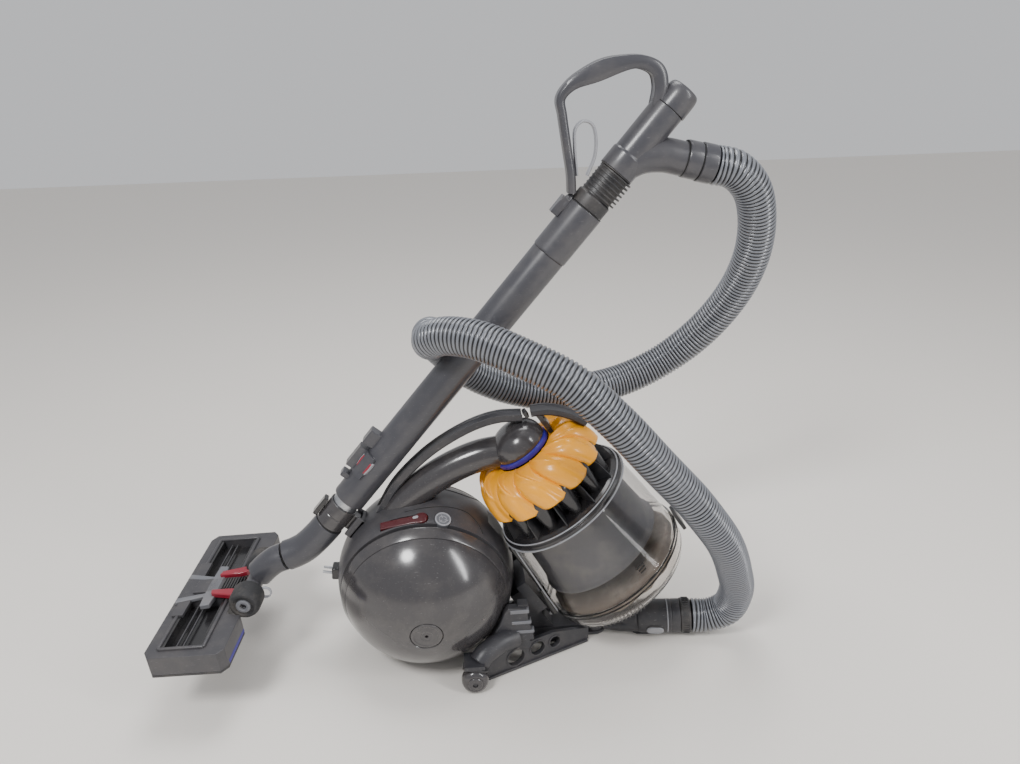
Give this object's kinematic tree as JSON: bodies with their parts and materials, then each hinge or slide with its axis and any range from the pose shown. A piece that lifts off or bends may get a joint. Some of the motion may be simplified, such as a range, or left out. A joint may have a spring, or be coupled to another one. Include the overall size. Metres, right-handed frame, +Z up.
{
  "type": "canister vacuum cleaner",
  "caption": "Canister vacuum cleaner on a ball of two wheels, with a tilted clear bin, a lobed cyclone cap, a telescopic wand docked behind it, a floor tool and a ribbed hose.",
  "frame": {"origin": "on the floor, under the middle of the space that the object fills without its hose", "axes": "+X towards the bin and the hose cuff, +Y to the cleaner's left, +Z up"},
  "size_m": [0.8671, 0.317, 0.8296],
  "materials": {
    "shell_grey": "glossy with fine scuffs",
    "casing_grey": "satin",
    "tube_grey": "satin gloss",
    "dark_plastic": "satin",
    "black_plastic": "satin",
    "light_grey": "satin",
    "yellow": "satin gloss",
    "purple": "satin gloss",
    "burgundy": "glossy",
    "red": "glossy",
    "rubber": "matte",
    "steel": "satin",
    "hose_grey": "satin, fine ribs",
    "clear_grey": "clear, lightly smoked"
  },
  "bodies": {
    "cleaner": {"casing_upper": "casing_grey", "casing_lower": "casing_grey", "wheel_axle_right": "steel", "wheel_axle_left": "steel", "motor": "steel", "pre_motor_filter": "light_grey", "duct_pipe": "shell_grey", "carry_arch": "casing_grey", "cyclone_dome": "shell_grey", "chassis": "casing_grey", "steering_pin": "steel", "power_plug": "black_plastic", "hose_lower": "hose_grey"},
    "wheel_right": {"wheel_shell_right": "shell_grey", "hub_cap_right": "light_grey"},
    "wheel_left": {"wheel_shell_left": "shell_grey", "hub_cap_left": "light_grey"},
    "impeller": {"impeller": "light_grey"},
    "cable_reel": {"cable_reel": "dark_plastic"},
    "rewind_button": {"rewind_button": "light_grey"},
    "power_button": {"power_button": "light_grey"},
    "side_pedal_right": {"side_pedal_right": "burgundy"},
    "side_pedal_left": {"side_pedal_left": "burgundy"},
    "bin": {"seal_ring": "purple", "cyclone_cap": "yellow", "cyclone_pack": "black_plastic", "clear_bin": "clear_grey", "shroud": "light_grey", "bin_base_ring": "dark_plastic", "lid_hinge_pin": "steel", "bin_handle": "casing_grey"},
    "bin_release_button": {"bin_release_button": "black_plastic"},
    "bin_lid": {"bin_lid": "clear_grey"},
    "lid_catch": {"lid_catch": "dark_plastic"},
    "castor_wheel_right": {"castor_wheel_right": "rubber"},
    "castor_wheel_left": {"castor_wheel_left": "rubber"},
    "steering_neck": {"steering_neck": "casing_grey", "hose_front": "hose_grey"},
    "hose_release_button": {"hose_release_button": "light_grey"},
    "hose_collar_lower": {"hose_collar_lower": "shell_grey"},
    "wand_lower": {"inner_tube": "steel", "neck_collar": "shell_grey", "tool_elbow": "tube_grey"},
    "collar_clip": {"collar_clip": "black_plastic"},
    "wand_upper": {"outer_tube": "tube_grey", "bleed_sleeve": "casing_grey", "handle_tube": "tube_grey", "handle_end_cap": "tube_grey", "handle_grip": "casing_grey", "hose_upper": "hose_grey"},
    "telescope_catch": {"telescope_catch": "red"},
    "wand_catch_button": {"wand_catch_button": "tube_grey"},
    "hose_collar_upper": {"hose_collar_upper": "casing_grey"},
    "suction_trigger": {"suction_trigger": "light_grey"},
    "tool_yoke": {"tool_yoke": "dark_plastic"},
    "tool_head": {"tool_body": "casing_grey", "soleplate": "dark_plastic"},
    "tool_pedal": {"tool_pedal": "red"},
    "tool_wheel_right": {"tool_wheel_right": "rubber"},
    "tool_wheel_left": {"tool_wheel_left": "rubber"}
  },
  "joints": [
    {"name": "wheel_right_roll", "type": "hinge", "parent": "cleaner", "child": "wheel_right", "pos_m": [-0.01592, -0.00003, 0.12603], "axis": [0, -0.9903, -0.1392], "continuous": true},
    {"name": "wheel_left_roll", "type": "hinge", "parent": "cleaner", "child": "wheel_left", "pos_m": [-0.01592, -0.00003, 0.12603], "axis": [0, 0.9903, -0.1392], "continuous": true},
    {"name": "impeller_spin", "type": "hinge", "parent": "cleaner", "child": "impeller", "pos_m": [0.02608, 0.02797, 0.13203], "axis": [0, 1, 0], "continuous": true},
    {"name": "cable_reel_turn", "type": "hinge", "parent": "cleaner", "child": "cable_reel", "pos_m": [-0.07192, -0.00003, 0.12203], "axis": [0, 1, 0], "continuous": true},
    {"name": "rewind_button_press", "type": "slide", "parent": "cleaner", "child": "rewind_button", "axis": [-0.2344, 0.375, -0.8969], "range_m": [0, 0.0025], "stiffness_N_per_m": 800},
    {"name": "power_button_press", "type": "slide", "parent": "cleaner", "child": "power_button", "axis": [-0.2344, -0.375, -0.8969], "range_m": [0, 0.0025], "stiffness_N_per_m": 800},
    {"name": "side_pedal_right_press", "type": "slide", "parent": "cleaner", "child": "side_pedal_right", "axis": [0.1875, 0.375, -0.9079], "range_m": [0, 0.002], "stiffness_N_per_m": 1200},
    {"name": "side_pedal_left_press", "type": "slide", "parent": "cleaner", "child": "side_pedal_left", "axis": [0.1875, -0.375, -0.9079], "range_m": [0, 0.002], "stiffness_N_per_m": 1200},
    {"name": "bin_release", "type": "slide", "parent": "cleaner", "child": "bin", "axis": [0.829, 0, 0.5592], "range_m": [0, 0.05]},
    {"name": "bin_release_button_press", "type": "slide", "parent": "bin", "child": "bin_release_button", "axis": [0.5592, 0, -0.829], "range_m": [0, 0.002], "stiffness_N_per_m": 800},
    {"name": "bin_lid_open", "type": "hinge", "parent": "bin", "child": "bin_lid", "pos_m": [0.16519, -0.00003, 0.05366], "axis": [0, 1, 0], "range_deg": [0, 18]},
    {"name": "lid_catch_pull", "type": "slide", "parent": "bin", "child": "lid_catch", "axis": [0.829, 0, 0.5592], "range_m": [0, 0.002], "stiffness_N_per_m": 1500},
    {"name": "castor_right_roll", "type": "hinge", "parent": "cleaner", "child": "castor_wheel_right", "pos_m": [0.04608, -0.11103, 0.019], "axis": [0, 1, 0], "continuous": true},
    {"name": "castor_left_roll", "type": "hinge", "parent": "cleaner", "child": "castor_wheel_left", "pos_m": [0.04608, 0.11097, 0.019], "axis": [0, 1, 0], "continuous": true},
    {"name": "neck_steer", "type": "hinge", "parent": "cleaner", "child": "steering_neck", "pos_m": [0.23408, -0.00003, 0.015], "axis": [0, 0, 1], "range_deg": [-20, 36], "deforming": ["hose_front"]},
    {"name": "hose_release_press", "type": "slide", "parent": "steering_neck", "child": "hose_release_button", "axis": [0.145, 0.9158, 0.3746], "range_m": [0, 0.0025], "stiffness_N_per_m": 800},
    {"name": "hose_swivel_lower", "type": "hinge", "parent": "steering_neck", "child": "hose_collar_lower", "pos_m": [0.37028, -0.0216, 0.02977], "axis": [0.9863, -0.1562, 0.0523], "continuous": true},
    {"name": "wand_dock_lift", "type": "slide", "parent": "cleaner", "child": "wand_lower", "axis": [0.6508, 0, 0.7593], "range_m": [0, 0.08]},
    {"name": "collar_clip_press", "type": "slide", "parent": "wand_lower", "child": "collar_clip", "axis": [0.7593, 0, -0.6508], "range_m": [0, 0.001], "stiffness_N_per_m": 800},
    {"name": "wand_telescope", "type": "slide", "parent": "wand_lower", "child": "wand_upper", "axis": [0.6508, 0, 0.7593], "range_m": [0, 0.33], "deforming": ["hose_lower"]},
    {"name": "telescope_catch_slide", "type": "slide", "parent": "wand_upper", "child": "telescope_catch", "axis": [-0.6508, 0, -0.7593], "range_m": [0, 0.006], "stiffness_N_per_m": 600},
    {"name": "wand_catch_press", "type": "slide", "parent": "wand_upper", "child": "wand_catch_button", "axis": [-0.6508, 0, -0.7593], "range_m": [0, 0.003], "stiffness_N_per_m": 800},
    {"name": "hose_swivel_upper", "type": "hinge", "parent": "wand_upper", "child": "hose_collar_upper", "pos_m": [0.36039, -0.00003, 0.69977], "axis": [0.972, 0, -0.2351], "continuous": true},
    {"name": "suction_trigger_pull", "type": "hinge", "parent": "wand_upper", "child": "suction_trigger", "pos_m": [0.22099, -0.00003, 0.69666], "axis": [0, -1, 0], "range_deg": [0, 3], "stiffness_Nm_per_rad": 0.6},
    {"name": "tool_swivel", "type": "hinge", "parent": "wand_lower", "child": "tool_yoke", "pos_m": [-0.21442, -0.00003, 0.1705], "axis": [0.9426, 0, 0.3339], "range_deg": [-45, 45]},
    {"name": "tool_pitch", "type": "hinge", "parent": "tool_yoke", "child": "tool_head", "pos_m": [-0.26193, -0.00626, 0.13568], "axis": [0.0935, 0.995, 0.0348], "range_deg": [-12, 20]},
    {"name": "tool_pedal_rock", "type": "hinge", "parent": "tool_head", "child": "tool_pedal", "pos_m": [-0.28683, -0.0039, 0.13506], "axis": [0.0935, 0.995, 0.0348], "range_deg": [0, 3], "stiffness_Nm_per_rad": 1.5},
    {"name": "tool_wheel_right_roll", "type": "hinge", "parent": "tool_yoke", "child": "tool_wheel_right", "pos_m": [-0.26614, -0.05104, 0.13411], "axis": [0.0935, 0.995, 0.0348], "continuous": true},
    {"name": "tool_wheel_left_roll", "type": "hinge", "parent": "tool_yoke", "child": "tool_wheel_left", "pos_m": [-0.25772, 0.03851, 0.13725], "axis": [0.0935, 0.995, 0.0348], "continuous": true}
  ]
}
